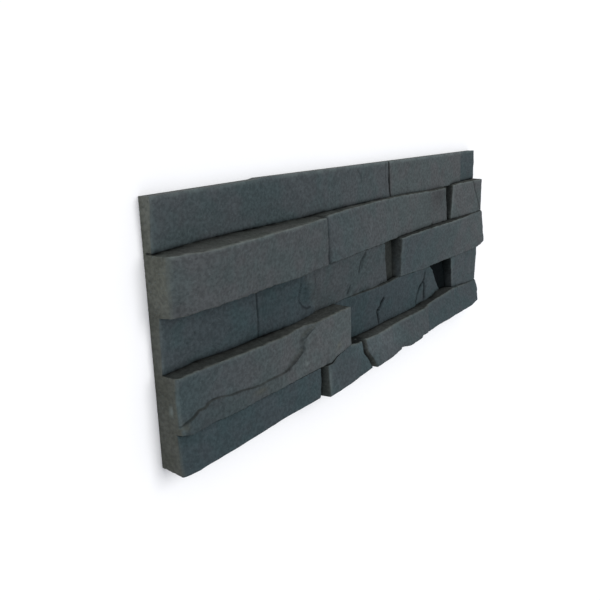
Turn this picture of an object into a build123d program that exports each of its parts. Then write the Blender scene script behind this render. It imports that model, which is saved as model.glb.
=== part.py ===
from build123d import *
import os
from collections import namedtuple

# Ledgestone veneer panel, cast in one piece from pigmented concrete.
# Five courses of split-faced stones stand out from a thin continuous backing.
# The panel lies on its flat back: X runs along the courses, +Y towards the first
# course, +Z out of the decorative face, origin at the centre of the back.

# Driving dimensions, in millimetres
panel_length = 450.0
backing_thickness = 5.5
course_1_height = 28.2
course_2_height = 32.5
course_3_height = 33.9
course_4_height = 34.1
course_5_height = 21.3
arris = 1.2
corner_chip = 5.0
ledge_drop = 2.2

# A spall is a plane where the stone split away beyond a point of its face. The point is
# given along the stone, up from its foot and out from the back. From there the face falls
# by slope degrees towards bearing, measured from the panel's length.
Spall = namedtuple("Spall", "along up out slope bearing")

# A stone is measured from its left joint. width is taken along its head (upper edge), and
# lean is how much further right its right-hand joint is at the foot than at the head.
# The four depths are those of the face above the back, at the corners of the stone.
Stone = namedtuple("Stone", "width lean head_left head_right foot_left foot_right spalls", defaults=[()])

# An open joint shows the backing between two stones.
Joint = namedtuple("Joint", "width lean")

course_1 = [
    Stone(94.0, 3.0, 7.8, 7.4, 6.6, 6.4),
    Stone(168.5, 6.0, 7.8, 7.4, 6.4, 6.5),
    Stone(148.0, -0.5, 7.6, 8.8, 7.0, 8.8),
    Stone(39.5, 0.0, 6.4, 6.1, 6.2, 6.0),
]
course_2 = [
    Stone(148.0, 4.5, 31.8, 25.6, 26.0, 20.8, [Spall(34.0, 32.5, 30.4, 20.0, 156.0), Spall(92.0, 32.5, 27.9, 7.0, 0.0)]),
    Stone(217.5, 8.0, 17.5, 12.8, 16.7, 11.0, [Spall(40.0, 25.0, 14.6, 5.0, 100.0)]),
    Joint(19.5, -5.5),
    Stone(65.0, 0.0, 11.2, 14.8, 11.6, 14.4, [Spall(58.0, 16.0, 14.0, 14.0, 12.0)]),
]
course_3 = [
    Stone(81.5, 0.0, 8.2, 10.0, 6.8, 9.4),
    Stone(46.5, 18.5, 9.8, 10.0, 9.2, 8.8),
    Stone(121.0, 9.0, 13.5, 12.0, 9.6, 7.0, [Spall(14.0, 16.0, 12.4, 12.0, 195.0)]),
    Joint(20.5, 1.0),
    Stone(180.5, 0.0, 15.8, 14.6, 10.5, 17.0, [Spall(8.0, 28.0, 14.6, 14.0, 150.0)]),
]
course_4 = [
    Stone(173.5, 3.5, 18.0, 21.6, 16.6, 20.4, [Spall(160.0, 4.0, 20.2, 12.0, 300.0)]),
    Stone(160.0, 30.5, 6.8, 10.5, 6.2, 7.4, [Spall(146.0, 22.0, 9.3, 9.0, 335.0)]),
    Joint(40.0, 9.0),
    Stone(76.5, 0.0, 16.0, 11.6, 8.6, 9.8),
]
course_5 = [
    Stone(134.5, -0.5, 13.4, 21.0, 17.6, 18.8),
    Joint(5.5, -2.5),
    Stone(60.0, 6.0, 22.6, 16.0, 25.0, 20.8),
    Joint(5.5, 2.0),
    Stone(114.5, -9.0, 15.8, 15.8, 23.6, 18.4, [Spall(50.0, 3.0, 20.2, 16.0, 290.0)]),
    Stone(130.5, 0.0, 14.2, 11.0, 17.6, 14.0, [Spall(122.0, 5.0, 14.0, 20.0, 330.0)]),
]

# Break ledge of the long stone in course 4: the face above this line, measured from the
# panel's left end and from the foot of the course, was split off one layer deeper.
ledge_line = [(0.0, 4.6), (24.0, 13.3), (98.0, 9.2), (118.0, 17.6), (117.0, 26.8), (134.0, 31.4)]

course_table = [
    (course_1_height, course_1),
    (course_2_height, course_2),
    (course_3_height, course_3),
    (course_4_height, course_4),
    (course_5_height, course_5),
]
panel_height = sum(height for height, pieces in course_table)
stones = [piece for height, pieces in course_table for piece in pieces if isinstance(piece, Stone)]
blank_depth = 2 * max(max(stone[2:6]) for stone in stones)


def cleave(block, first, second, third, keep=Keep.BOTTOM):
    """Splits a block along the plane through three points and keeps what lies under it."""
    origin = Vector(*first)
    along = Vector(*second) - origin
    across = Vector(*third) - origin
    normal = along.cross(across)
    if normal.Z < 0:
        normal = -normal
    return split(block, bisect_by=Plane(origin, x_dir=along, z_dir=normal), keep=keep)


def split_face(block, head_left, head_right, foot_left, foot_right):
    """Cleaves the face through its four corners, folded over the higher diagonal."""
    twist = head_left[2] + foot_right[2] - head_right[2] - foot_left[2]
    if twist > 0:
        block = cleave(block, head_left, foot_right, foot_left)
        return cleave(block, head_left, foot_right, head_right)
    block = cleave(block, foot_left, head_right, head_left)
    if twist < 0:
        block = cleave(block, foot_left, head_right, foot_right)
    return block


def split_away(block, spall, left_x, foot_y):
    """Cleaves a spall: a plane through its point, tilted down by its slope on its bearing."""
    point = Vector(left_x + spall.along, foot_y + spall.up, spall.out)
    downhill = Vector(1, 0, 0).rotate(Axis.Z, spall.bearing)
    strike = downhill.rotate(Axis.Z, 90)
    fall = downhill.rotate(Axis(point, strike), spall.slope)
    return cleave(block, point, point + fall, point + strike)


def break_edge(block, start, end, inward):
    """Takes the sharp arris off one front edge, a plane sloping away from the stone."""
    lower_start = (start[0], start[1], start[2] - arris)
    lower_end = (end[0], end[1], end[2] - arris)
    set_in = (start[0] + inward[0] * arris, start[1] + inward[1] * arris, start[2])
    return cleave(block, lower_start, lower_end, set_in)


def make_stone(stone, left, right, foot_y, head_y, run_on):
    """One stone: its outline between two joints, as deep as the blank, cleaved to its face."""
    outline = Polyline(
        (left[1], foot_y),
        (right[1] + run_on, foot_y),
        (right[0] + run_on, head_y),
        (left[0], head_y),
        close=True,
    )
    block = extrude(make_face(outline), amount=blank_depth)
    head_left = (left[0], head_y, stone.head_left)
    head_right = (right[0], head_y, stone.head_right)
    foot_left = (left[1], foot_y, stone.foot_left)
    foot_right = (right[1], foot_y, stone.foot_right)
    block = split_face(block, head_left, head_right, foot_left, foot_right)
    for spall in stone.spalls:
        block = split_away(block, spall, left[0], foot_y)
    block = break_edge(block, head_left, head_right, (0, -1))
    block = break_edge(block, foot_left, foot_right, (0, 1))
    block = break_edge(block, head_left, foot_left, (1, 0))
    if not run_on:
        block = break_edge(block, head_right, foot_right, (-1, 0))
    return block


def break_ledge(block, stone, foot_y, head_y):
    """Takes one layer off the stone above the ledge line and leaves a sharp step along it."""
    start = (ledge_line[0][0] - arris, ledge_line[0][1])
    end_x, end_rise = ledge_line[-1]
    line = [start] + ledge_line[1:]
    outline = Polyline(
        *[(x, foot_y + rise) for x, rise in line],
        (end_x + ledge_drop, head_y + arris),
        (start[0], head_y + arris),
        close=True,
    )
    layer = extrude(make_face(outline), amount=blank_depth)
    bed_start = (0, head_y, stone.head_left - ledge_drop)
    bed_end = (stone.width, head_y, stone.head_right - ledge_drop)
    bed_foot = (0, foot_y, stone.foot_left - ledge_drop)
    return block - cleave(layer, bed_start, bed_end, bed_foot, keep=Keep.TOP)


def lay_course(foot_y, head_y, pieces):
    """Lays stones and open joints from left to right. The last stone runs on past the end."""
    laid = []
    left = (0.0, 0.0)
    for piece in pieces:
        head_x = left[0] + piece.width
        right = (head_x, head_x + piece.lean)
        run_on = panel_length if piece is pieces[-1] else 0.0
        if isinstance(piece, Stone):
            laid.append(make_stone(piece, left, right, foot_y, head_y, run_on))
        left = right
    return laid


blocks = []
head_y = panel_height
for height, pieces in course_table:
    foot_y = head_y - height
    laid = lay_course(foot_y, head_y, pieces)
    if pieces is course_4:
        laid[0] = break_ledge(laid[0], pieces[0], foot_y, head_y)
    blocks += laid
    head_y = foot_y

# The mould trims every course to one outline, and the backing joins them.
flat = (Align.MIN, Align.MIN, Align.MIN)
mould = Box(panel_length, panel_height, blank_depth, align=flat)
backing = Box(panel_length, panel_height, backing_thickness, align=flat)
panel = (backing + blocks) & mould

# The lower right corner is chipped off.
chip_at = (panel_length, 0.0)
panel = cleave(
    panel,
    (chip_at[0], chip_at[1], course_5[-1].foot_right - 1.4 * corner_chip),
    (chip_at[0] - 1.6 * corner_chip, chip_at[1], course_5[-1].foot_right),
    (chip_at[0], chip_at[1] + corner_chip, course_5[-1].foot_right),
)

veneer_panel = Pos(-panel_length / 2, -panel_height / 2, 0) * panel
veneer_panel = Part(veneer_panel.solids()[0].wrapped)
print("solids", len(panel.solids()), "faces", len(panel.faces()), "volume", round(panel.volume))

os.makedirs("parts", exist_ok=True)
export_step(veneer_panel, "parts/veneer_panel.step")
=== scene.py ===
# %% [markdown]
# # Ledgestone veneer panel
# One strip of wall cladding. It looks like five courses of stacked, split stones, and it is
# one casting: pigmented concrete poured face down into a rubber mould that was taken off
# real split stone. This notebook gives the CAD blank of the panel its relief and its finish.

# %% Frame
from collections import namedtuple

import bpy
import numpy as np
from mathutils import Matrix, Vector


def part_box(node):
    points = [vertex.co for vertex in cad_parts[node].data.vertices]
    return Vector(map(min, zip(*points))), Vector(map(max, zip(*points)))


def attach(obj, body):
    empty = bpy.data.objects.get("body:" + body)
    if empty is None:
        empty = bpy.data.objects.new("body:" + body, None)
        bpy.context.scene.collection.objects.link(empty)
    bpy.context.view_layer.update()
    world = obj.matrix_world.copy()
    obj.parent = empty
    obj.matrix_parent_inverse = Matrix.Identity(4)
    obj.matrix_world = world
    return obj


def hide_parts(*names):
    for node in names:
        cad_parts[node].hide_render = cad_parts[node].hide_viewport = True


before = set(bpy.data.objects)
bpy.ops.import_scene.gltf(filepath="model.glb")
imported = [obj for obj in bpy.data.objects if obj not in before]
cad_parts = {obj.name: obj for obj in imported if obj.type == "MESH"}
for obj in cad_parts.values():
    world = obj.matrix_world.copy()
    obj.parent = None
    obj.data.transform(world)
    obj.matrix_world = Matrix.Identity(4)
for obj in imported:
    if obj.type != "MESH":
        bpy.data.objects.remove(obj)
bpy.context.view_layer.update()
low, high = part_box("veneer_panel")
mm = 0.001
panel_length = (high.x - low.x) / mm
panel_height = (high.y - low.y) / mm
print("panel", round(panel_length, 1), "x", round(panel_height, 1), "mm")

# %% [markdown]
# ## Viewpoint
# The panel lies on its back and the camera looks down across it from beyond its left end.
# The angles come from fitting a camera to the corners of the stones, so that a length in
# the picture can be turned back into millimetres on the panel.

# %% Camera
camera_data = bpy.data.cameras.new("camera")
camera_data.lens = 44.95
camera_data.sensor_width = 36.0
camera_data.clip_start = 0.01
camera = bpy.data.objects.new("camera", camera_data)
camera.location = (-0.49648, 0.10856, 0.27915)
camera.rotation_euler = np.radians((-9.881, -56.482, -4.243))
bpy.context.collection.objects.link(camera)
bpy.context.scene.camera = camera
print("camera", round(camera_data.lens), "mm")

# %% [markdown]
# ## The stones
# Lengths are millimetres from the lower left corner of the back. Each stone has the line of
# its head (upper edge) and of its foot (lower edge): pairs of distance along the panel and
# depth above the back. Its tone is how light the concrete came out at its left and right
# end, with painted shade in it as well: stones that stand back are darker. A bed is the open
# backing between two stones, darkened by painted shade in that recess. Where the code
# numbers the courses it starts from 0, at the head of the panel.

# %% Stones
Stone = namedtuple("Stone", "head foot tone shade", defaults=[1.0])


def bed(depth, shade):
    """Open backing between two stones, at one depth, darkened by painted shade in the recess."""
    return Stone([(0, depth)], [(0, depth)], (0.85, 0.85), shade)


def is_bed(stone):
    """True for open backing, which has one depth and no line."""
    return len(stone.head) == 1


course_lines = [panel_height, 121.8, 89.3, 55.4, 21.3, 0.0]
# Besides the concrete's own tone, the tone pairs hold painted shade: stones that stand back are darker.
course_1 = [
    Stone([(0, 7.7), (94, 7.4)], [(0, 6.3), (35, 6.2), (97, 6.4)], (1.02, 0.98)),
    Stone([(94, 7.9), (180, 7.9), (262, 7.5)], [(97, 6.4), (180, 6.2), (268, 6.6)], (0.98, 1.06)),
    Stone([(262, 7.8), (340, 8.4), (411, 8.9)], [(268, 7.1), (340, 8.0), (410, 9.0)], (1.14, 1.16)),
    Stone([(411, 6.6), (450, 6.2)], [(410, 6.5), (450, 6.2)], (0.98, 0.94)),
]
course_2 = [
    Stone(
        [
            (0, 16.2), (2.6, 19.2), (10, 23.0), (19, 27.2), (28, 29.9),
            (41, 30.6), (62, 30.4), (91, 27.9), (137, 21.9), (148, 21.2),
        ],
        [
            (0, 17.2), (1.6, 18.3), (10, 21.0), (17, 23.0), (28, 24.8), (46, 24.8),
            (66, 23.6), (87, 23.2), (108, 23.1), (138, 20.3), (152, 18.9),
        ],
        (1.13, 1.09),
        0.97,
    ),
    Stone(
        [
            (148, 18.5), (157, 17.8), (197, 12.0), (227, 11.0),
            (265, 9.8), (281, 9.9), (330, 12.2), (366, 13.3),
        ],
        [(152, 17.0), (184, 16.6), (219, 13.9), (255, 12.4), (277, 11.3), (330, 11.1), (374, 11.2)],
        (1.0, 1.2),
    ),
    bed(5.8, 0.58),
    Stone(
        [(385, 11.4), (415, 13.8), (437, 15.6), (450, 15.4)],
        [(380, 11.7), (415, 13.6), (447, 15.2), (450, 14.8)],
        (1.2, 1.22),
    ),
]
course_3 = [
    Stone([(0, 8.1), (81, 9.5)], [(0, 7.0), (30, 6.8), (45, 8.1), (61, 9.3), (82, 9.2)], (0.94, 0.84)),
    Stone([(81, 9.9), (126, 10.1)], [(82, 9.5), (126, 9.8), (147, 9.0)], (0.74, 0.82)),
    Stone(
        [(130, 13.0), (160, 12.9), (200, 12.4), (249, 12.0)],
        [(151, 7.9), (166, 8.8), (190, 7.4), (206, 6.4), (221, 6.2), (233, 6.6), (258, 6.6)],
        (1.04, 1.02),
        0.92,
    ),
    bed(5.8, 0.42),
    Stone(
        [(270, 15.6), (304, 16.1), (345, 16.6), (390, 16.9), (450, 15.2)],
        [(277, 11.0), (316, 11.2), (356, 12.0), (399, 14.3), (423, 15.3), (440, 17.4), (450, 18.3)],
        (0.92, 1.14),
        1.05,
    ),
]
course_4 = [
    Stone(
        [
            (0, 16.8), (16, 17.8), (32, 18.8), (49, 19.8), (67, 20.9),
            (86, 21.6), (112, 20.8), (133, 21.6), (173, 21.8),
        ],
        [
            (0, 18.4), (12, 18.3), (21, 18.5), (37, 19.5), (55, 19.9),
            (76, 19.8), (96, 20.8), (119, 21.0), (146, 20.6), (177, 20.2),
        ],
        (0.95, 1.28),
        0.985,
    ),
    Stone(
        [(174, 7.3), (250, 8.7), (300, 10.1), (333, 11.9)],
        [(177, 6.3), (227, 6.2), (266, 6.4), (301, 7.6), (332, 7.1), (364, 6.6)],
        (0.72, 0.9),
    ),
    bed(5.6, 0.1),
    Stone(
        [(374, 16.2), (400, 14.8), (450, 12.4)],
        [(389, 10.2), (420, 10.5), (450, 10.8)],
        (0.98, 0.98),
        1.07,
    ),
]
course_5 = [
    Stone(
        [(0, 14.8), (40, 16.4), (80, 18.8), (134, 20.7)],
        [
            (0, 15.3), (3, 17.5), (9.3, 19.6), (26, 20.2), (45, 19.9),
            (65, 19.6), (87, 19.3), (110, 19.2), (134, 19.4),
        ],
        (0.8, 0.87),
    ),
    bed(11.0, 0.52),
    Stone(
        [(140, 22.8), (170, 20.2), (200, 16.4)],
        [(138, 24.9), (151, 25.5), (178, 23.8), (206, 22.0)],
        (0.95, 0.92),
    ),
    bed(8.5, 0.52),
    Stone(
        [(205, 16.2), (226, 17.4), (266, 15.9), (302, 16.3), (320, 15.9)],
        [(208, 25.0), (233, 23.7), (256, 21.6), (269, 23.6), (290, 22.8), (306, 20.0), (313, 19.2)],
        (1.02, 1.02),
    ),
    Stone(
        [(321, 14.6), (385, 11.6), (412, 10.6), (450, 9.5)],
        [(314, 18.8), (368, 18.8), (417, 18.8), (440, 15.6), (450, 13.4)],
        (0.92, 0.96),
    ),
]
courses = [course_1, course_2, course_3, course_4, course_5]
print("stones and beds", [len(course) for course in courses])

# %% [markdown]
# ## Joints between stones
# A joint is a steep or sloping wall between two stones of a course. Its two sides are given
# as x at the head and at the foot of the course. Groove is how far the edges beside it are
# worn down over reach. Seam is how much painted shade lies along it, and spill how far that
# shade runs to the right. Rub is how pale its right edge is made: partly rubbed wear, partly
# painted highlight. Joints are listed from left to right over the whole panel, because the
# mesh has one column line on each side of every joint, and column lines can't cross.

# %% Joints
joint_fields = "course left right groove reach seam spill rub"
Joint = namedtuple("Joint", joint_fields, defaults=[0.8, 1.3, 0.0, 0.6, 0.0])
joints = [
    Joint(2, (81.1, 81.4), (81.5, 81.8), groove=0.5, seam=0.3),
    Joint(0, (93.7, 96.7), (94.3, 97.3), groove=0.15),
    Joint(2, (126.0, 145.0), (131.0, 151.0), groove=0.1),
    Joint(4, (134.3, 134.0), (134.8, 134.6), seam=0.45),
    Joint(4, (139.4, 136.9), (140.2, 137.4), seam=0.28, rub=0.5),
    Joint(1, (148.0, 152.0), (148.6, 152.8), groove=0.9, seam=0.55, spill=5.2),
    Joint(3, (173.3, 176.8), (174.0, 177.6), seam=0.3),
    Joint(4, (199.8, 205.8), (200.6, 206.3), seam=0.4),
    Joint(4, (205.2, 207.6), (205.8, 208.2), seam=0.2),
    Joint(2, (246.8, 260.2), (247.6, 261.0), groove=0.9),
    Joint(0, (262.2, 267.6), (262.8, 268.4), groove=1.8, seam=0.8),
    Joint(2, (269.8, 270.8), (270.6, 276.6), groove=1.4, reach=3.0, seam=0.38, rub=0.3),
    Joint(4, (319.8, 312.6), (321.0, 314.0), groove=0.7),
    Joint(3, (335.8, 368.0), (336.6, 368.8), groove=0.7),
    Joint(1, (365.4, 373.6), (366.2, 374.4), groove=0.7),
    Joint(3, (375.4, 381.6), (376.4, 390.6), groove=1.2, reach=3.0, seam=0.72, rub=0.35),
    Joint(1, (384.9, 379.6), (385.6, 380.3), groove=0.9, seam=0.5, rub=0.4),
    Joint(0, (410.6, 409.8), (411.4, 410.4), groove=0.3),
]
own_joints = [[row for row, joint in enumerate(joints) if joint.course == number] for number in range(5)]


def run_on(joints, room=3.4, sweeps=400):
    """Centre and half width of every joint at the six course lines. In its own course a joint
    is where it was measured. In the others its column line runs on: each free point goes to
    the mean of the points above and below it, and is pushed clear of its neighbours."""
    centre = np.full((len(joints), 6), np.nan)
    half = np.full((len(joints), 6), 0.3)
    for row, joint in enumerate(joints):
        for end in (0, 1):
            level = joint.course + end
            centre[row, level] = (joint.left[end] + joint.right[end]) / 2
            half[row, level] = (joint.right[end] - joint.left[end]) / 2
    fixed = ~np.isnan(centre)
    centre = np.where(fixed, centre, np.nanmean(centre, axis=1)[:, None])
    for sweep in range(sweeps):
        padded = np.pad(centre, ((0, 0), (1, 1)), mode="edge")
        centre = np.where(fixed, centre, (padded[:, :-2] + padded[:, 2:]) / 2)
        for row in range(1, len(joints)):
            least = centre[row - 1] + half[row - 1] + half[row] + room
            centre[row] = np.where(fixed[row], centre[row], np.maximum(centre[row], least))
        for row in range(len(joints) - 2, -1, -1):
            most = centre[row + 1] - half[row + 1] - half[row] - room
            centre[row] = np.where(fixed[row], centre[row], np.minimum(centre[row], most))
    return centre, half


joint_centre, joint_half = run_on(joints)
print("closest joint lines", round(float(np.diff(joint_centre, axis=0).min()), 2), "mm")

# %% [markdown]
# ## Columns and rows
# The relief is one grid, drawn tighter where an edge turns: four column lines at every
# joint and four rows at every course line, with plain spacing between. One structured grid
# keeps walls crisp with few faces, where an even grid would need several times as many.

# %% Columns
edge_rim = 0.95
rim_columns = 2
column_spacing = 1.5
wall_spacing = 1.0
wall_columns = 4


def mix(first, second, share):
    """The first value times (1 - share) plus the second times share."""
    return (1 - share) * first + share * second


def joint_stations(centre, half):
    """x of the column lines at the six course lines: rim, left side, right side and rim of
    each joint, between the two ends of the panel. Rims shrink where two joints come close."""
    ends = np.vstack([np.zeros(6), centre, np.full(6, panel_length)])
    reach = np.vstack([np.zeros(6), half, np.zeros(6)])
    gap = ends[1:] - reach[1:] - ends[:-1] - reach[:-1]
    rim = np.minimum(edge_rim, 0.3 * np.minimum(gap[:-1], gap[1:]))
    lines = [np.zeros(6), np.full(6, edge_rim)]
    for row in range(len(centre)):
        inner_left = centre[row] - half[row]
        inner_right = centre[row] + half[row]
        lines += [inner_left - rim[row], inner_left, inner_right, inner_right + rim[row]]
    lines += [np.full(6, panel_length - edge_rim), np.full(6, panel_length)]
    return np.array(lines)


def spread(stations, counts):
    """Lines between the stations: station s and s + 1 mixed in equal steps."""
    lines = [stations[:1]]
    for place, count in enumerate(counts):
        share = np.arange(1, count + 1)[:, None] / count
        lines.append(mix(stations[place], stations[place + 1], share))
    return np.vstack(lines)


# From the left end the stretches between stations are a rim, and then, over and over, plain
# face, rim, wall and rim.
stations = joint_stations(joint_centre, joint_half)
column_counts = []
for place, width in enumerate(np.diff(stations, axis=0).max(axis=1)):
    kind = ("plain", "rim", "wall", "rim")[(place - 1) % 4]
    if kind == "rim" or place in (0, len(stations) - 2):
        column_counts.append(rim_columns)
    elif kind == "wall":
        column_counts.append(max(wall_columns, round(width / wall_spacing)))
    else:
        column_counts.append(max(1, round(width / column_spacing)))
column_x = spread(stations, column_counts)
column_station = spread(np.arange(len(stations))[:, None].astype(float), column_counts)[:, 0]
print("columns", len(column_x))

# %% [markdown]
# ## Relief of the concrete
# The mould was taken off split stone, so the face has no repeating pattern. A sum of plane
# waves with random directions gives such a surface at any size of feature, is smooth, and
# is the same on every run because the random numbers are seeded.

# %% Relief helpers
random = np.random.default_rng(7)


def relief(points, length, waves=26):
    """Random height at each point, about -2 to 2: the sum of cosines of (wave vector times
    point plus phase), with wavelengths near `length` mm, over the root of half their count."""
    direction = random.normal(size=(waves, points.shape[-1]))
    direction /= np.linalg.norm(direction, axis=1, keepdims=True)
    wavelength = length * random.uniform(0.7, 1.5, waves)
    wave_vector = 2 * np.pi * direction / wavelength[:, None]
    phase = random.uniform(0, 2 * np.pi, waves)
    total = np.zeros(points.shape[:-1])
    for vector, offset in zip(wave_vector, phase):
        total += np.cos(points @ vector + offset)
    return total / np.sqrt(waves / 2)


def ramp(value, start, end):
    """0 before start, 1 after end, and 3t² - 2t³ between."""
    t = np.clip((value - start) / (end - start), 0, 1)
    return t * t * (3 - 2 * t)


def band(value, start, full, fade, end):
    """1 from full to fade, 0 before start and after end: a ramp up times a ramp down."""
    return ramp(value, start, full) * (1 - ramp(value, fade, end))


def bell(distance, width):
    """Gauss bell: e to the power of minus the square of distance over width."""
    return np.exp(-(distance / width) ** 2)


def dent(x, y, centre_x, centre_y, size_x, size_y):
    """1 at the centre of an oval spot and 0 outside it: a Gauss bell over the two half axes."""
    return bell(x - centre_x, size_x) * bell(y - centre_y, size_y)


def signed_distance(x, y, line):
    """Distance in mm to a broken line, positive on its left as it is walked."""
    best = np.full(x.shape, np.inf)
    side = np.ones(x.shape)
    points = np.array(line, float)
    for start, end in zip(points[:-1], points[1:]):
        step = end - start
        along = np.clip(((x - start[0]) * step[0] + (y - start[1]) * step[1]) / (step @ step), 0, 1)
        off_x = x - start[0] - along * step[0]
        off_y = y - start[1] - along * step[1]
        distance = np.hypot(off_x, off_y)
        nearer = distance < best
        best = np.where(nearer, distance, best)
        side = np.where(nearer, np.sign(step[0] * off_y - step[1] * off_x), side)
    return best * side


print("a bell falls to", round(float(bell(1.0, 1.0)), 2), "one width off")

# %% [markdown]
# ## The break ledge
# The long stone of the fourth course lost a layer above a line that runs up its face. It is
# added as height beside the traced line, because on a casting even the deepest break has no
# undercut. The step is low and sharp on the left, and a deeper slope near the middle.

# %% Break ledge
long_stone_end = 175
ledge_break = [
    (-8, 23), (2.9, 27.1), (7.1, 28.9), (10.5, 30.0), (14.1, 32.4), (19.1, 32.2), (21.9, 34.0), (25.4, 34.7),
    (33.2, 34.2), (40.3, 32.8), (49.6, 32.4), (59.2, 30.9), (67.1, 30.1), (79.6, 30.5), (90.4, 30.4),
    (97.5, 30.8), (104.2, 34.0), (109.6, 36.8), (115.4, 38.8), (116.0, 44.0), (115.6, 47.0), (121.0, 49.4),
    (128.0, 52.0), (136.0, 58.0),
]


def steepness(x):
    """Share of the deeper slope in the break: 1 between x 106 and 118."""
    return band(x, 92, 106, 118, 131)


def long_ledge(x, y):
    """Height of the break: minus its depth, over a ramp beside the line. The depth is 1.35
    mm, more at the left end and on the deeper slope, and it fades out at the head."""
    steep = steepness(x)
    width = 0.8 + 1.9 * steep
    depth = 1.35 + 0.4 * (1 - ramp(x, 4, 36)) + 1.25 * steep - 0.5 * ramp(x, 118, 132)
    fade = 1 - 0.85 * ramp(y, 42, 56) * (1 - ramp(x, 96, 112))
    return -depth * fade * ramp(signed_distance(x, y, ledge_break), 0, width)


print("break ledge of", len(ledge_break), "points")

# %% [markdown]
# ## Scars, facets and cracks
# Other stones split in shell-shaped scars, flat facets and hairline cracks. Each is a broken
# line traced on the panel, with a height beside or across it. Cracks return a darkness as
# well, which is painted shade in them, and a few patches on the faces are made darker, some paler.

# %% Scars and facets
scar_line = [(131, 90), (128, 80), (126.5, 73), (127, 67.5), (131.5, 63.7), (139, 60.7), (152, 59.5)]
facet_bend = [(325.5, 45.2), (320.5, 40.7), (315.5, 37.1), (312.9, 31.8)]
facet_line = [(323, 57), (325, 49.5)] + facet_bend + [(311.5, 19)]
end_facet_line = [(334, 57), (331, 40), (331.4, 19)]
crease_line = [(429, 124), (434.2, 110), (447, 90)]


def left_scars(x, y):
    """Third course, middle stone: a shell-shaped scar beside its joint, 1.1 mm deep inside
    its line, with a low hump in it."""
    scar = signed_distance(x, y, scar_line)
    hollow = ramp(scar, 0.0, 1.2) * (1 - ramp(scar, 5, 13)) * dent(x, y, 137, 70, 14, 16)
    hump = dent(x, y, 138.5, 72, 3.5, 6)
    return -1.1 * hollow + 0.8 * hump


def deep_facets(x, y):
    """Fourth course, recessed stone: a raised facet, a lower one and a slope at its right end."""
    raised = ramp(-signed_distance(x, y, facet_line), 0, 1.4)
    lowered = ramp(-signed_distance(x, y, end_facet_line), 0, 1.2)
    facets = 1.3 * raised - 0.9 * lowered - 0.05 * np.clip(x - 331, 0, 40)
    return facets * ramp(x, 300, 306)


print("scar and facet lines", len(scar_line), len(facet_line), len(end_facet_line))

# %% Cracks
# The darkness of a crack is painted shade along it.
Crack = namedtuple("Crack", "course half_width depth dark line")
deep_crack = [(252, 43.5), (247.2, 39.9), (246.3, 36.6), (241.0, 34.4), (242.5, 31.0), (244.6, 24.0)]
# Minus in depth and darkness makes the last one a low, paler ridge.
cracks = [
    Crack(3, 1.1, 1.3, 0.95, deep_crack),
    Crack(3, 2.5, 0.6, 0.85, [(325.0, 50.5)] + facet_bend + [(311.5, 25.8)]),
    Crack(3, 1.6, 0.6, 0.75, [(324.5, 42.5), (327.0, 40.4), (328.2, 35.5), (329.7, 25.0)]),
    Crack(3, 1.2, 0.4, 0.6, [(115.2, 41.2), (115.2, 39.6)]),
    Crack(3, 1.2, 0.4, 0.6, [(97.0, 31.0), (99.0, 32.2)]),
    Crack(2, 0.8, 0.4, 0.55, [(130, 80), (127, 74), (126.5, 68.5), (131.0, 64.2), (137, 61.5), (141, 61.5)]),
    Crack(2, 1.2, 0.2, 0.22, [(134.5, 76), (134.5, 67)]),
    Crack(2, 0.7, 0.3, 0.4, [(143, 84), (145, 78), (145, 70)]),
    Crack(2, 1.3, 0.7, 0.55, [(216.9, 86.9), (213.7, 82.9), (210.5, 80.6), (210.3, 77.3), (209.5, 72.7)]),
    Crack(2, 0.8, 0.4, 0.35, [(214.3, 81.5), (213.4, 75.5)]),
    Crack(2, 1.2, 0.8, 0.7, [(197.5, 63.7), (196.5, 61.3), (193.5, 58.5)]),
    Crack(1, 0.9, 0.7, 0.55, [(429.8, 121), (434.2, 110.1), (445.9, 92)]),
    Crack(0, 0.7, 0.2, 0.3, [(257.4, 150), (258.5, 141), (260.9, 124.6)]),
    Crack(0, 0.7, 0.3, 0.35, [(214, 147), (219, 143), (221, 138)]),
    Crack(1, 0.8, -0.4, -0.15, [(226.6, 109), (223, 102), (219.9, 95)]),
]

# Patches made darker on a face: course, centre, half axes, and how dark. Minus is paler.
face_patches = [
    (1, 352, 117, 20, 9, 0.3), (1, 352, 106, 18, 10, 0.1), (1, 2, 93, 6, 6, 0.22), (4, 232, 15, 26, 9, -0.3),
    (4, 196, 17, 12, 6, -0.25), (2, 41, 65, 1.4, 1.4, 0.35), (2, 42, 74, 1.2, 1.8, 0.35),
    (2, 54, 67, 1.2, 1.2, 0.3), (2, 27, 73, 1.3, 1.3, 0.3), (2, 21, 68, 1.3, 1.0, 0.35),
]


def break_ledge_shade(x, y, dark):
    """Adds the painted shade of the fourth course: a hair of it along the low step, a broader
    band along the steep slope, thinner halfway up, and a painted shadow at the start of the
    recessed stone. The face below the low step is a little darker, and the one above it paler."""
    above = signed_distance(x, y, ledge_break)
    steep = steepness(x)
    hair = bell(above - 0.6, 0.55) * (0.85 + 0.25 * np.sin(x / 4.1) * np.sin(x / 9.7 + 1))
    broad = ramp(above, -0.3, 0.5) * bell(np.maximum(above, 0), 2.1)
    line = mix(hair, broad, steep) * (1 - ramp(x, 120, 136))
    dark = np.maximum(dark, (0.62 - 0.2 * steep * band(y, 38, 41, 46, 49)) * line)
    dark = dark + (0.1 - 0.16 * ramp(above, -1, 1)) * (1 - ramp(x, 70, 110))
    return np.maximum(dark, 0.6 * dent(x, y, 176, 20, 22, 9) * ramp(x, 174, 178))


def crack_share(number, x, y):
    """Depth and darkness of the cracks of one course: each is a bell across its line."""
    depth = np.zeros(x.shape)
    dark = np.zeros(x.shape)
    for crack in cracks:
        if crack.course == number:
            across = bell(signed_distance(x, y, crack.line), crack.half_width)
            depth = depth + crack.depth * across
            dark = np.maximum(dark, crack.dark * across) if crack.dark > 0 else dark + crack.dark * across
    for course, *spot, strength in face_patches:
        if course == number:
            dark = dark + strength * dent(x, y, *spot)
    return depth, break_ledge_shade(x, y, dark) if number == 3 else dark


print("cracks", len(cracks), "settled places", len(face_patches))

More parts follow.
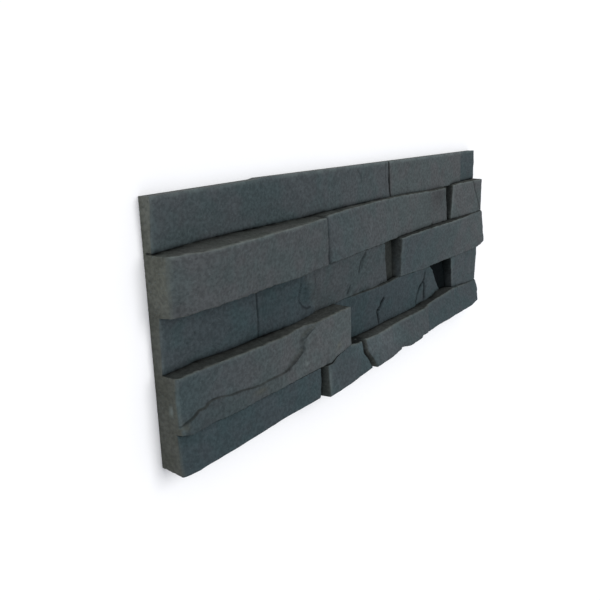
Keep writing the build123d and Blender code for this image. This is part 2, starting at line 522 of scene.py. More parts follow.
# %% [markdown]
# ## Small damage
# Handling and a worn mould leave bites in the foot, a chipped corner and single pits. A Gauss
# bell is the simplest shape for a bite that has no edge of its own.

# %% Small damage
# Centre, half axes and depth of the bites out of the foot
bites = [(262.5, -0.5, 4.5, 5.0, 3.4), (301, -1, 4.5, 4.5, 1.6), (252, 1, 6, 3, 0.8)]
# Centre, half axes and height of each pit and of the one blister
spots = [
    (41, 65, 1.6, 1.6, -0.8), (42, 74, 1.2, 2.0, -0.7), (54, 67, 1.2, 1.2, -0.6), (27, 73, 1.3, 1.3, -0.6),
    (21, 68, 1.3, 1.0, -0.6), (117.2, 29.4, 1.6, 1.6, 0.6), (129, 37, 1.2, 2.6, -0.6),
    (126, 33, 1.0, 1.2, -0.5), (163, 21.9, 7.0, 1.4, -0.5), (177, 21.5, 1.6, 1.8, -0.5),
    (340, 90, 2.2, 1.6, -1.5), (300, 120, 3.0, 1.4, -0.9), (190, 123, 3.5, 1.6, -0.6),
    (66, 122, 4.0, 1.4, -0.8), (205, 56.5, 4.0, 1.6, -1.2), (214, 57, 1.5, 1.5, -0.8),
]


def foot_notches(x, y):
    """Fifth course: bites out of the foot of the third stone, and the chipped far corner,
    which falls away past a line that leans to the left towards the foot."""
    bite = sum(depth * dent(x, y, *spot) for *spot, depth in bites)
    return -bite - 5.0 * ramp(x + 0.9 * (6 - y), 446, 456)


def small_marks(x, y):
    """Sum of the bells of all pits and of the blister."""
    return sum(height * dent(x, y, *spot) for *spot, height in spots)


print("bites", len(bites), "spots", len(spots))

# %% [markdown]
# ## Course lines
# The lines between the courses wander, because the stones in the mould were laid by eye.
# They bend off near the left end, by a height that dies out over a length, and stray along
# the panel by what was measured against the nominal line. The foot line only bends. The
# head line is two straight pieces with a step between them, at the joint of its first two
# stones.

# %% Course lines
# Height and length of the bend of each line, and pairs of x and stray
end_bends = {1: (-1.2, 22), 2: (-1.6, 14), 3: (0.0, 10), 4: (2.0, 10), 5: (-1.5, 6)}
line_strays = {
    1: [
        (0, -0.9), (12, -0.8), (30, -0.4), (54, 0), (90, -0.3), (114, -0.7), (138, -0.8), (150, -0.6),
        (168, 0.1), (198, 0), (294, -0.2), (320, -0.9), (342, -1.6), (384, -1.7), (400, -0.7), (450, -0.6),
    ],
    2: [
        (0, -0.6), (48, -0.75), (72, -1.2), (96, -1.3), (130, -1.1), (160, -1.1), (222, -1.3),
        (258, -0.7), (272, -0.5), (284, 0), (400, 0), (438, 0.5),
    ],
    3: [
        (0, -0.5), (24, -0.35), (48, -0.6), (84, -0.75), (104, -1.2), (138, -0.9), (160, -0.4),
        (190, -0.1), (212, -0.4), (236, -1.1), (258, -1.1), (274, 0.2), (300, -0.8), (320, -1.7),
        (342, -1.8), (366, -1.2), (414, -1.0), (430, -0.6), (450, 0),
    ],
    4: [
        (0, -0.5), (8, -1.2), (15, -0.7), (26, 0), (100, 0), (114, -0.35), (126, 0), (142, -0.3),
        (152, -1.1), (162, 0), (174, 1.4), (198, 1.0), (222, 0.15), (270, 0.0), (294, 0.3), (318, 0.9),
        (342, 1.3), (390, 1.6), (404, 0.8), (426, 0), (450, 0),
    ],
}


def end_bend(level, x):
    """Bend of a course line at its left end: height times e to the power of -x / length."""
    height, length = end_bends[level]
    return height * np.exp(-x / length)


def course_y(level, x):
    """y of a course line: its nominal height plus bend, waver and stray. At the head it is
    a rising line, and after the step a falling one. The line above the fifth course also
    has a hump where the long stone ends, and sinks at its far end."""
    if level == 0:
        return course_lines[0] + mix(0.1 + 0.007 * x, 1.4 - 0.0075 * (x - 97), ramp(x, 90, 96.5))
    line = course_lines[level] + end_bend(level, x)
    if level == 4:
        line = line - 1.8 * ramp(x, 395, 450) + 2.8 * band(x, 146, 155, 176, 196)
    if level in line_strays:
        line = line + 0.12 * np.sin(x / 21 + 2.1 * level) + 0.05 * np.sin(x / 6.3 + level)
        line = line + np.interp(x, *np.transpose(line_strays[level]))
    return line


print("foot at the left corner", round(float(course_y(5, 0.0)), 2), "mm")

# %% [markdown]
# ## Depth of the face
# A stone's face runs straight from its head line to its foot line. Its edges are worn
# round, by a radius that wanders along the edge, because a mould can't hold a sharp one.
# Then the broad sway of the split is added, and the breaks.

# %% Faces
wall_slant = 0.3
edge_radius = 1.2


def worn(distance, radius, depth):
    """Drop beside an edge: a quarter circle, stretched to `depth`, over `radius`."""
    t = np.clip(distance / radius, 0, 1)
    return depth * (1 - np.sqrt(1 - (1 - t) ** 2))


def stone_share(number, position):
    """How much each column belongs to one stone of a course: 1 over the stone, and falling
    to 0 across the wall at either side, which is between stations 4j + 3 and 4j + 4 of joint j."""
    own = own_joints[number]
    start = 4 * own[position - 1] + 3 if position > 0 else -2
    end = 4 * own[position] + 4 if position < len(own) else len(stations) + 1
    return np.clip(column_station - start, 0, 1) * np.clip(end - column_station, 0, 1)


def face_depth(number, x, y, share):
    """Depth of one course over its rows: each stone's face, head line to foot line, less
    what is worn off beside its edges, and a sway. A bed keeps a third of both."""
    own = own_joints[number]
    spot = np.stack([x, y], axis=-1)
    edge_play = 1 + 0.15 * relief(spot, 22)
    groove_play = 1 + 0.2 * relief(spot, 15)
    sway = 0.26 * relief(spot, 60) + 0.12 * relief(spot, 24) + 0.05 * relief(spot, 9)
    to_head = course_y(number, x[0]) - y
    to_foot = y - course_y(number + 1, x[-1])
    head_drop = 0.3 if number == 0 else 0.55
    foot_drop = 0.35 if number == 4 else 0.5
    edge = worn(to_head - wall_slant, edge_radius * edge_play, head_drop)
    edge = np.maximum(edge, worn(to_foot - wall_slant, edge_radius * edge_play, foot_drop))
    total = np.zeros(x.shape)
    for position, stone in enumerate(courses[number]):
        if position > 0:
            joint = joints[own[position - 1]]
            off = x - mix(*joint.right, share)
            left_edge = worn(off, joint.reach * edge_play, joint.groove * groove_play)
        else:
            left_edge = worn(x, edge_radius, 0.5)
        if position < len(own):
            joint = joints[own[position]]
            off = mix(*joint.left, share) - x
            right_edge = worn(off, 1.3 * edge_play, min(joint.groove, 1.0) * groove_play)
        else:
            right_edge = worn(panel_length - x, 1.0, 0.25)
        head = np.interp(x, *np.transpose(stone.head))
        foot = np.interp(x, *np.transpose(stone.foot))
        sway_kept, wear_kept = (0.35, 0.3) if is_bed(stone) else (1.0, 1.0)
        wear = np.maximum(left_edge, right_edge) + edge
        depth = mix(head, foot, share) + sway_kept * sway - wear_kept * wear
        total += stone_share(number, position) * depth
    return total


def break_depth(number, x, y):
    """Height of the breaks that belong to one course. The third course also hollows at its
    far foot, and the second is lower behind a crease."""
    height = small_marks(x, y) - crack_share(number, x, y)[0]
    if number == 1:
        height = height - 0.4 * ramp(-signed_distance(x, y, crease_line), 0, 1.5)
    if number == 2:
        height = height + left_scars(x, y) - 3.4 * ramp(x, 428, 450) * (1 - ramp(y, 56, 60))
    if number == 3:
        height = height + np.where(x < long_stone_end, long_ledge(x, y), deep_facets(x, y))
    if number == 4:
        height = height + foot_notches(x, y)
    return height


print("edges worn to a radius of", edge_radius, "mm")

# %% [markdown]
# ## The grid
# Every course gets its rows. Between two courses the last row of one and the first of the
# next are joined by a ledge, a nearly upright wall with a little draft, which is what lets
# the casting leave its mould.

# %% Grid
row_spacing = 1.32
ledge_rows = 7
thinnest_cast = 4.9
# Where the rows beside the break ledge run on, to the right of the ledge
past_break = [(111, 37.0), (118, 43.5), (127, 50.0), (145, 49.5), (172, 43), (205, 38.5), (450, 38.5)]


def row_shares(number):
    """How far down its course each row is, from 0 at the head to 1 at the foot, by column.
    In the fourth course three rows run along the break ledge, so that its step is sharp.
    Their x depends on their share, so the two are worked out in turn until they agree."""
    height = course_lines[number] - course_lines[number + 1]
    rim_share = edge_rim / height
    flat = np.zeros(len(column_x))
    levels = [flat, flat + rim_share, flat + 1 - rim_share, flat + 1]
    counts = [2, round((height - 2 * edge_rim) / row_spacing), 2]
    if number == 3:
        line = np.array([point for point in ledge_break if point[0] < 106] + past_break)
        share = flat + 0.5
        for step in range(8):
            x = mix(column_x[:, 3], column_x[:, 4], share)
            share = (course_lines[3] - np.interp(x, line[:, 0], line[:, 1])) / height
        near = [share - 1.5 / height, share - 0.75 / height, share + 0.1 / height]
        levels = levels[:2] + near + levels[2:]
        counts = [2, 17, 2, 2, 10, 2]
    return spread(np.array(levels), counts)


course_shares = [row_shares(number) for number in range(5)]


def course_grid(number):
    """x, y and depth of one course's rows, mixed between its head and its foot line. The
    foot of the fourth course rises behind its bed, and a joint of the fifth bends left."""
    share = course_shares[number]
    head_x = column_x[:, number]
    foot_x = column_x[:, number + 1]
    x = mix(head_x, foot_x, share)
    head = course_y(number, head_x) - (wall_slant if number > 0 else 0.0)
    foot = course_y(number + 1, foot_x) + (wall_slant if number < 4 else 0.0)
    if number == 3:
        foot = foot + 2.6 * band(foot_x, 342, 362, 372, 391)
    y = mix(head, foot, share)
    z = face_depth(number, x, y, share) + break_depth(number, x, y)
    if number == 4:
        x = x - 4.0 * dent(x, y, 203, 13.5, 12, 6)
    return np.stack([x, y, np.maximum(z, thinnest_cast)], axis=-1)


def ledge_grid(above, below):
    """The rows of a ledge, between the last row above it and the first below it."""
    share = (np.arange(1, ledge_rows) / ledge_rows)[:, None, None]
    return mix(above, below, share)


grid_courses = [course_grid(number) for number in range(5)]
blocks = [grid_courses[0]]
for lower in grid_courses[1:]:
    blocks.append(ledge_grid(blocks[-1][-1], lower[0]))
    blocks.append(lower)
grid = np.vstack(blocks)
print("grid", grid.shape[:2], "depth", grid[..., 2].min().round(1), "to", grid[..., 2].max().round(1), "mm")

# %% [markdown]
# ## Sand texture
# The skin of the casting is finely pitted. The same random waves push each point of the
# grid along its own normal, so ledges and joint walls get the texture too. At the outline
# it is left out, as the sides were cast against the flat walls of the mould.

# %% Skin
thinnest_skin = 4.6


def grid_normals(points):
    """Unit normal at each grid point: the cross product of the steps along row and column,
    turned so that it points out of the face."""
    along = np.gradient(points, axis=1)
    across = np.gradient(points, axis=0)
    normal = np.cross(across, along)
    normal = normal / np.linalg.norm(normal, axis=-1, keepdims=True)
    return normal if normal[..., 2].mean() > 0 else -normal


normals = grid_normals(grid)
inside = np.zeros(grid.shape[:2])
inside[1:-1, 1:-1] = 1.0
skin = 0.08 * relief(grid, 7.0) + 0.05 * relief(grid, 4.0)
# 1 on ledges and walls, 0 on faces
ledge_side = 1 - ramp(np.abs(normals[..., 2]), 0.35, 0.85)
grid = grid + normals * (skin * inside * (1 + 0.8 * ledge_side))[..., None]
grid[..., 2] = np.maximum(grid[..., 2], thinnest_skin)
print("skin", skin.min().round(2), "to", skin.max().round(2), "mm")

# %% [markdown]
# ## Sides and back
# The outline of the relief is carried down to the floor in rings, which makes the four cast
# sides. A narrow groove in the left end marks where the first course meets the second. The
# back lies on the mortar bed, is never seen, and is closed flat.

# %% Sides
rows, columns = grid.shape[:2]
index = np.arange(rows * columns).reshape(rows, columns)
outline = np.concatenate([index[0, :-1], index[:-1, -1], index[-1, :0:-1], index[:0:-1, 0]])
surface = grid.reshape(-1, 3)
ring_count = 10
slit_y = 120.5
slit_depth = 1.0


def pushed_in(position, length, push, margin):
    """Moves what is within margin of either end of a length inwards by push."""
    middle = length / 2
    near_end = np.abs(position - middle) > middle - margin
    return position + push * np.sign(middle - position) * near_end


def side_rings(rim):
    """Rings from the outline of the relief down to the back. Ring k of n keeps the outline's
    x and y and has depth times (1 - k/n). All but the last are pushed in a little by random
    waves, and at the foot of the left end the rings rise towards the back."""
    rings = []
    for ring in range(1, ring_count + 1):
        points = rim.copy()
        points[:, 2] = rim[:, 2] * (1 - ring / ring_count)
        if ring < ring_count:
            slit = bell(points[:, 1] - slit_y, 0.45) * ramp(points[:, 2], 1.0, 2.0)
            points[:, 0] += slit_depth * slit * (points[:, 0] < 0.5)
            wander = np.abs(0.1 * relief(points, 14))
            points[:, 0] = pushed_in(points[:, 0], panel_length, wander, 1.0)
            points[:, 1] = pushed_in(points[:, 1], panel_height, wander, 1.5)
        lift = (0.9 * np.exp(-rim[:, 0] / 20) - end_bend(5, rim[:, 0])) * np.clip(1 - rim[:, 1] / 9, 0, 1)
        points[:, 1] += lift * ring / ring_count
        rings.append(points)
    return np.vstack(rings)


rim_points = surface[outline]
vertices = np.vstack([surface, side_rings(rim_points)])
around = len(outline)
ring_index = np.vstack([outline, len(surface) + np.arange(ring_count * around).reshape(ring_count, around)])
print("outline of", around, "points,", ring_count, "rings")

# %% [markdown]
# ## Faces
# Every four neighbours of the grid and of the rings make a face. The back is closed by long
# strips from the head edge to the foot edge, with one many-sided face at each end.

# %% Shell
end_columns = 12


def quads(grid_index):
    """Four-cornered faces between neighbouring rows and columns of an index grid."""
    a = grid_index[:-1, :-1]
    b = grid_index[1:, :-1]
    c = grid_index[1:, 1:]
    d = grid_index[:-1, 1:]
    return np.stack([a, b, c, d], axis=-1).reshape(-1, 4)


side_faces = quads(np.hstack([ring_index, ring_index[:, :1]]))[:, ::-1]
back_ring = ring_index[-1]
foot_start = columns + rows - 2
head_line = back_ring[:columns]
foot_line = back_ring[foot_start: foot_start + columns][::-1]
middle_part = slice(end_columns, -end_columns)
back_strips = quads(np.vstack([head_line[middle_part], foot_line[middle_part]]))[:, ::-1]
right_end = back_ring[columns - 1 - end_columns: foot_start + 1 + end_columns]
left_end = np.concatenate([back_ring[foot_start + columns - 1 - end_columns:], back_ring[:end_columns + 1]])
faces = [tuple(face) for face in quads(index).tolist() + side_faces.tolist() + back_strips.tolist()]
faces += [tuple(right_end.tolist()[::-1]), tuple(left_end.tolist()[::-1])]
print("vertices", len(vertices), "faces", len(faces))

# %% [markdown]
# ## Where the colour changes
# Four masks are kept with the mesh for the finish. Side is 1 on walls and ends, where the
# concrete ran against the mould and is warmer in tone. Worn is 1 along the front edges, paler
# partly by rubbing in handling and partly by painted highlight. Tone is how light each stone
# came out of the mould, with painted shade on the stones that stand back. Shade is painted
# shade: it falls towards 0 in the joints, beds, cracks and corners of the ledges. A fifth
# one, for the beds, is merged into side.

# %% Masks of the courses
# Centre and half axes of warm stains on the long stone of the fourth course
stains = [(3.2, 26.0, 2.4, 2.6), (67, 27.0, 6.0, 2.2), (157, 29.0, 3.5, 2.6)]


def rubbed_and_highlit(number, x, y, share):
    """Paleness of the edges of one course, partly rubbed wear and partly painted highlight: a
    bell across its head line and its left end, and what some stones have besides, such as a
    rubbed foot or a blister."""
    strength, width = (0.6, 1.6) if number == 0 else (0.5, 0.9)
    rub = strength * bell(course_lines[number] - y, width)
    if number == 2:
        rub = np.maximum(rub, 0.45 * bell(y - course_lines[3], 0.9) * band(x, 180, 205, 300, 330))
    if number == 3:
        rub = rub * (1 - 0.7 * ramp(x, 60, 110))
        rub = np.maximum(rub, 0.3 * np.exp(-(x / (1.1 + 1.4 * share)) ** 4))
        rub = np.maximum(rub, 1.3 * dent(x, y, 117.2, 29.4, 1.4, 1.4))
    return np.maximum(rub, 0.3 * bell(x, 1.1))


def course_masks(number):
    """The masks over the rows of one course. Tone runs straight from a stone's left end to
    its right end. Seams and cracks take their share off shade, and off side and worn."""
    share = course_shares[number]
    x = mix(column_x[:, number], column_x[:, number + 1], share)
    y = mix(course_lines[number], course_lines[number + 1], share)
    own = own_joints[number]
    rub = rubbed_and_highlit(number, x, y, share)
    tone, shade, seam, bed_part = np.zeros((4,) + x.shape)
    for position, stone in enumerate(courses[number]):
        weight = stone_share(number, position)
        left_x = joints[own[position - 1]].right[0] if position > 0 else 0.0
        right_x = joints[own[position]].left[0] if position < len(own) else panel_length
        tone += weight * mix(*stone.tone, np.clip((x - left_x) / (right_x - left_x), 0, 1))
        shade += weight * stone.shade
        bed_part += weight * is_bed(stone)
    for row in own:
        joint = joints[row]
        past_left = np.maximum(mix(*joint.left, share) - x, 0)
        past_right = np.maximum(x - mix(*joint.right, share), 0)
        # Painted shade along the joint, spilling to its right
        seam = np.maximum(seam, joint.seam * np.exp(-(past_left / 0.45 + past_right / joint.spill) ** 4))
        rub = np.maximum(rub, joint.rub * bell(past_right, 3.4) * (past_right > 0))
    for stain in stains:
        bed_part = np.maximum(bed_part, dent(x, y, *stain))
    dark = crack_share(number, x, y)[1]
    wear_and_highlight = rub * ramp(shade, 0.5, 0.9) * (1 - seam)
    shade = shade * (1 - seam) * (1 - dark)
    side = 0.8 * (1 - seam) * (1 - 0.8 * np.maximum(dark, 0))
    bed_part = bed_part * ramp(shade, 0.1, 0.3)
    return {"side": side, "worn": wear_and_highlight, "tone": tone, "shade": shade, "bed": bed_part}


masks_of_courses = [course_masks(number) for number in range(5)]
print("lightest stone", max(masks["tone"].max() for masks in masks_of_courses).round(2))

# %% [markdown]
# ## Painted shade on the ledges
# The darkest places are the corners where one course stands back from the next, where
# light reaches least, so painted shade is put there. Its amount follows the height of the
# step, and it creeps a few rows up the face above a ledge. The ledges are darkened by
# painted shade as well.

# %% Masks of the ledges
# For each ledge: its painted shade, how much painted shade lies in its corners, and how much
# of that darkens each row of the face above it
ledge_painted_shade = [0.8, 0.5, 0.67, 0.74]
painted_corner_shade = [0.78, 0.75, 0.8, 0.75]
painted_shade_creep = [
    (1.0, 0.95, 0.6, 0.15),
    (1.0, 0.75, 0.35, 0.1),
    (1.0, 0.92, 0.65, 0.3, 0.1),
    (1.0, 0.75, 0.35, 0.1),
]
# Stretches where the corners of the ledge above a course get less painted shade: how much
# less, and the start, full, fade and end of the stretch
less_corner_shade = {
    1: [(0.5, 225, 275, 372, 384)],
    3: [(0.5, 105, 122, 170, 180)],
    4: [(0.5, 388, 396, 460, 470), (0.6, 146, 154, 174, 180)],
}


def ledge_masks(number, above, below):
    """The masks of the ledge above a course, from those of the two courses that it joins. A
    crevice is the corner above a stone that stands out, and a hollow the corner under one.
    Both get painted shade, and the face above a crevice darkens towards it with painted shade.
    A stone's worn edge shows only where it stands out. Both corners fade by the fourth power of
    the way across the ledge."""
    x = column_x[:, number]
    climb = grid_courses[number][0, :, 2] - grid_courses[number - 1][-1, :, 2]
    corner_shade = painted_corner_shade[number - 1] + 0.1 * relief(grid_courses[number][0], 9)
    corner_shade = np.clip(corner_shade, 0.4, 0.96)
    for share, *stretch in less_corner_shade.get(number, []):
        corner_shade = corner_shade * (1 - share * band(x, *stretch))
    crevice = corner_shade * ramp(climb, 0.3, 2.5)
    hollow = corner_shade * ramp(-climb, 0.3, 2.5)
    stands_out = climb > 0
    tone = np.where(stands_out, below["tone"][0], above["tone"][-1])
    shade = np.where(stands_out, below["shade"][0], above["shade"][-1]) * ledge_painted_shade[number - 1]
    warmth = np.full(columns, 0.65)
    if number == 4:
        # Painted shadow on this ledge: darkest beside the end of the long stone above it, and darker towards
        # the far end of the recessed stone
        shade = shade * (0.24 + 0.76 * ramp(x, 186, 226))
        far_painted_shadow = 0.35 * ramp(x, 300, 320) + 0.12 * ramp(x, 330, 345)
        shade = shade * (1 - far_painted_shadow * (1 - ramp(x, 382, 390)))
        warmth = warmth * (1 - 0.7 * ramp(x, 386, 392))
    for row, share in enumerate(painted_shade_creep[number - 1]):
        above["shade"][-1 - row] *= 1 - share * crevice
    below["worn"][:3] *= ramp(climb, 0.5, 3)
    step = (np.arange(1, ledge_rows) / ledge_rows)[:, None]
    corner = np.where(stands_out, crevice * (1 - step) ** 4, hollow * step ** 4)
    nothing = np.zeros(corner.shape)
    return {
        "side": nothing + warmth,
        "worn": nothing,
        "tone": nothing + tone,
        "shade": shade * (1 - corner),
        "bed": nothing,
    }


mask_blocks = [masks_of_courses[0]]
for number in range(1, 5):
    above, below = masks_of_courses[number - 1: number + 1]
    mask_blocks += [ledge_masks(number, above, below), below]
face_masks = {name: np.vstack([block[name] for block in mask_blocks]) for name in mask_blocks[0]}
print("darkest ledge", face_masks["shade"].min().round(2))

# %% [markdown]
# ## Masks of the sides
# The sides are paler near the front, partly wear and partly painted highlight, and each ring
# knows how far it is below the outline. The left end, like all the sides, is painted lighter
# towards the head, where more light falls. It has a chip that shows paler concrete, and
# painted shade in its groove.

# %% Masks of the sides
ring_drop = np.concatenate([rim_points[:, 2] * ring / ring_count for ring in range(1, ring_count + 1)])
ring_x, ring_y, rim_z = np.tile(rim_points, (ring_count, 1)).T
ring_z = rim_z - ring_drop
at_ends = ((ring_x < 1) | (ring_x > panel_length - 1)).astype(float)
in_groove = at_ends * bell(ring_y - slit_y, 0.5) * band(ring_z, 1.0, 2.0, 7, 9)
chip = at_ends * dent(ring_y, ring_z, 35.6, 10.1, 2.8, 0.9)
ring_masks = {
    "side": 0.3 + 0.7 * at_ends,
    # Paler near the front edge: partly wear, partly painted highlight
    "worn": (0.35 - 0.2 * at_ends) * bell(ring_drop, 4.5) + 1.6 * chip,
    # Painted light: lighter towards the head
    "tone": np.interp(ring_y, [0, 40, 86, 99, 120], [0.81, 0.87, 0.92, 1.2, 1.22]),
    # Painted shade in the groove of the left end
    "shade": 1 - 0.8 * in_groove,
}
face_masks["side"] = np.maximum(ledge_side * face_masks["side"], 0.7 * face_masks["bed"])
masks = {name: np.concatenate([face_masks[name].ravel(), ring_masks[name]]) for name in ring_masks}
print("masks", {name: round(float(values.mean()), 2) for name, values in masks.items()})

# %% [markdown]
# ## Mesh
# The millimetres become metres in the frame of the CAD, and the piece takes the place of
# the CAD blank.

# %% Mesh
world = vertices * mm + np.array([low.x, low.y, 0.0])
mesh = bpy.data.meshes.new("cast_panel")
mesh.from_pydata(world, [], faces)
for name, values in masks.items():
    attribute = mesh.attributes.new(name, "FLOAT", "POINT")
    attribute.data.foreach_set("value", values.astype(np.float32))
mesh.shade_smooth()
mesh.set_sharp_from_angle(angle=np.radians(55))
mesh.validate()
cast_panel = bpy.data.objects.new("cast_panel", mesh)
bpy.context.collection.objects.link(cast_panel)
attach(cast_panel, "root")
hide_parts("veneer_panel")
mesh.calc_loop_triangles()
print("triangles", len(mesh.loop_triangles))

# %% [markdown]
# ## Concrete
# The colour goes through the casting: iron oxide black in grey cement. What varies is the
# skin. It is clouded over a few centimetres where the slurry settled, specked with sand,
# and dead matt, because the cement paste is open and dusty.

# %% Shader helpers
def colour(code):
    """Linear colour of an sRGB hex value: c/12.92 below 0.04045, else ((c+0.055)/1.055)^2.4."""
    channels = np.array([int(code[i:i + 2], 16) / 255 for i in (1, 3, 5)])
    linear = np.where(channels < 0.04045, channels / 12.92, ((channels + 0.055) / 1.055) ** 2.4)
    return (*linear.tolist(), 1.0)


def add_node(tree, kind, inputs=None, output=None, **settings):
    """Adds a shader node and gives its output of that name, or else the first that is in use.
    Settings are the node's own fields. Each input is a value or another node's output, keyed
    by the identifier of its socket. A node at the end of a tree gives nothing."""
    node = tree.nodes.new(kind)
    for key, value in settings.items():
        setattr(node, key, value)
    sockets = {socket.identifier: socket for socket in node.inputs}
    for key, value in (inputs or {}).items():
        if isinstance(value, bpy.types.NodeSocket):
            tree.links.new(value, sockets[key])
        else:
            sockets[key].default_value = value
    if output:
        return node.outputs[output]
    return next((socket for socket in node.outputs if socket.enabled), None)


def new_material(name):
    """An empty node material."""
    material = bpy.data.materials.new(name)
    material.use_nodes = True
    material.node_tree.nodes.clear()
    return material


print("mid grey is", round(colour("#808080")[0], 3), "in linear light")

# %% [markdown]
# ## Patterns of the skin
# Each pattern is a noise whose scale is worked out from the size of its features in
# millimetres. The sand is finer on the real panel. It is drawn at 1.4 to 2.2 mm, which is as
# fine as the picture shows.

# %% Patterns
concrete = new_material("charcoal_cast_concrete")
tree = concrete.node_tree
place = add_node(tree, "ShaderNodeTexCoord", output="Object")
# Unshaded reads the shade mask: 1, and less where painted shade lies
side, worn_edge_and_highlight, stone_tone, unshaded = [
    add_node(tree, "ShaderNodeAttribute", output="Fac", attribute_name=name) for name in masks
]
# Size in mm, detail and roughness of each noise
noises = {
    "drift": (20.0, 2.0, 0.5),
    "handling": (11.0, 2.0, 0.5),
    "mottle": (9.0, 3.0, 0.6),
    "lumps": (5.0, 2.0, 0.5),
    "sand": (2.2, 2.0, 0.5),
    "dark_grains": (1.8, 1.0, 0.5),
    "pores": (1.5, 3.0, 0.65),
    "pale_grains": (1.4, 1.0, 0.5),
}
pattern = {}
for name, (size, detail, roughness) in noises.items():
    inputs = {"Vector": place, "Scale": 1.0 / (size * mm), "Detail": detail, "Roughness": roughness}
    pattern[name] = add_node(tree, "ShaderNodeTexNoise", inputs)
# From where to where a pattern is used, and the values that it gives there
spans = {
    "drift": (0.36, 0.64, 0.0, 1.0),
    "handling": (0.35, 0.6, 0.25, 0.65),
    "mottle": (0.3, 0.7, 0.95, 1.05),
    "sand": (0.3, 0.7, 0.83, 1.17),
    "dark_grains": (0.28, 0.36, 0.3, 0.0),
    "pale_grains": (0.64, 0.76, 0.0, 0.3),
    "neutral": (0.8, 1.2, 0.0, 1.0),
}
pattern["neutral"] = stone_tone
for name, span in spans.items():
    inputs = dict(zip(("Value", "From Min", "From Max", "To Min", "To Max"), (pattern[name], *span)))
    pattern[name] = add_node(tree, "ShaderNodeMapRange", inputs, interpolation_type="SMOOTHSTEP")
print("patterns", sorted(pattern))

# %% [markdown]
# ## Concrete material
# The tone is laid up in this order: the face and the walls as cast, the mottle and the sand
# in them, grains that show, edges made pale by wear and painted highlight, and last the
# painted shade that darkens it all. Light stones are more neutral and dark ones bluer. The
# painted shade dulls the faint gloss as well, and two bumps add the pores and lumps that are
# too fine to model.

# %% Concrete material
mixes = {
    "face": (pattern["neutral"], colour("#364347"), colour("#434646")),
    "cloud": (pattern["drift"], colour("#344546"), colour("#434447")),
    "wall": (pattern["drift"], colour("#474943"), colour("#4D4F4A")),
}
tone = {}
for name, (share, first, second) in mixes.items():
    inputs = {"Factor_Float": share, "A_Color": first, "B_Color": second}
    tone[name] = add_node(tree, "ShaderNodeMix", inputs, data_type="RGBA")
# Painted shade darkens the tone and dims the faint gloss
products = {
    # The worn edges are paler by wear and by painted highlight
    "worn": (worn_edge_and_highlight, pattern["handling"]),
    "light": (stone_tone, unshaded),
    "gloss": (unshaded, 0.15),
}
product = {}
for name, (first, second) in products.items():
    inputs = {"Value": first, "Value_001": second}
    product[name] = add_node(tree, "ShaderNodeMath", inputs, operation="MULTIPLY")
# Each layer is a share and the tone that is mixed in by it, or a share alone, which the tone
# is multiplied by.
layers = [
    (0.28, tone["cloud"]),
    (side, tone["wall"]),
    (pattern["mottle"], None),
    (pattern["sand"], None),
    (pattern["pale_grains"], colour("#566063")),
    (pattern["dark_grains"], colour("#22282A")),
    # Pale edges: rubbed wear and painted highlight
    (product["worn"], colour("#6C7674")),
    (product["light"], None),
]
skin_tone = tone["face"]
for share, over in layers:
    if over is None:
        inputs = {"Vector": skin_tone, "Scale": share}
        skin_tone = add_node(tree, "ShaderNodeVectorMath", inputs, operation="SCALE")
    else:
        inputs = {"Factor_Float": share, "A_Color": skin_tone, "B_Color": over}
        skin_tone = add_node(tree, "ShaderNodeMix", inputs, data_type="RGBA")
inputs = {"Strength": 0.4, "Distance": 0.5 * mm, "Height": pattern["pores"]}
pores = add_node(tree, "ShaderNodeBump", inputs)
inputs = {"Strength": 0.2, "Distance": 0.8 * mm, "Height": pattern["lumps"], "Normal": pores}
lumps = add_node(tree, "ShaderNodeBump", inputs)
inputs = {"Base Color": skin_tone, "Roughness": 0.9, "Specular IOR Level": product["gloss"], "Normal": lumps}
skin_shader = add_node(tree, "ShaderNodeBsdfPrincipled", inputs)
add_node(tree, "ShaderNodeOutputMaterial", {"Surface": skin_shader})
mesh.materials.append(concrete)
print("concrete nodes", len(tree.nodes))

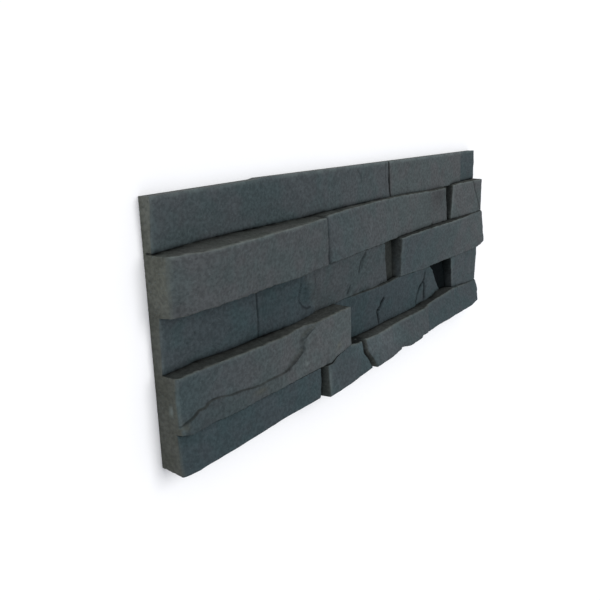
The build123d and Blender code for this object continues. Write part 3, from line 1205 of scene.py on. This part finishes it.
# %% [markdown]
# ## Stage
# A white floor catches the shadow. To the camera it is pure white paper under the light of
# the room. A plane some metres wide is enough, as its edge is out of the picture.

# %% Floor
far = 6.0
floor_corners = [(-far, -far, 0), (far, -far, 0), (far, far, 0), (-far, far, 0)]
floor_mesh = bpy.data.meshes.new("floor")
floor_mesh.from_pydata(floor_corners, [], [(0, 1, 2, 3)])
floor = bpy.data.objects.new("floor", floor_mesh)
floor.location = (0, 0, -0.0002)
bpy.context.collection.objects.link(floor)
paper = new_material("white_paper")
paper_shader = add_node(paper.node_tree, "ShaderNodeBsdfDiffuse", {"Color": colour("#F8F8F8")})
add_node(paper.node_tree, "ShaderNodeOutputMaterial", {"Surface": paper_shader})
floor_mesh.materials.append(paper)
print("floor", 2 * far, "m wide")

# %% [markdown]
# ## Light
# A wide soft lamp over the front gives the even light of a product photo, with more of it
# from the right, and the left end gets what the floor and the room send back. The camera sees
# the room as plain white, and the panel is lit by a slightly blue one.

# %% Light
room = bpy.data.worlds.new("room")
room.use_nodes = True
room.node_tree.nodes.clear()
seen = add_node(room.node_tree, "ShaderNodeLightPath", output="Is Camera Ray")
lit = add_node(room.node_tree, "ShaderNodeBackground", {"Color": colour("#F6F8FF"), "Strength": 0.6})
white = add_node(room.node_tree, "ShaderNodeBackground", {"Color": (1, 1, 1, 1), "Strength": 1.0})
pick = add_node(room.node_tree, "ShaderNodeMixShader", {"Fac": seen, "Shader": lit, "Shader_001": white})
add_node(room.node_tree, "ShaderNodeOutputWorld", {"Surface": pick})
bpy.context.scene.world = room


def sun(name, direction, strength, softness):
    """A distant lamp shining from a direction, softness degrees wide."""
    data = bpy.data.lights.new(name, "SUN")
    data.energy = strength
    data.angle = np.radians(softness)
    lamp = bpy.data.objects.new(name, data)
    lamp.rotation_euler = Vector(direction).to_track_quat("Z", "Y").to_euler()
    bpy.context.collection.objects.link(lamp)


sun("key", (0.2, 0.3, 0.93), 1.55, 45)
sun("end_fill", (-0.85, 0.3, 0.4), 0.7, 50)
print("lamps", len(bpy.data.lights))

bpy.context.scene.view_settings.view_transform = "Standard"
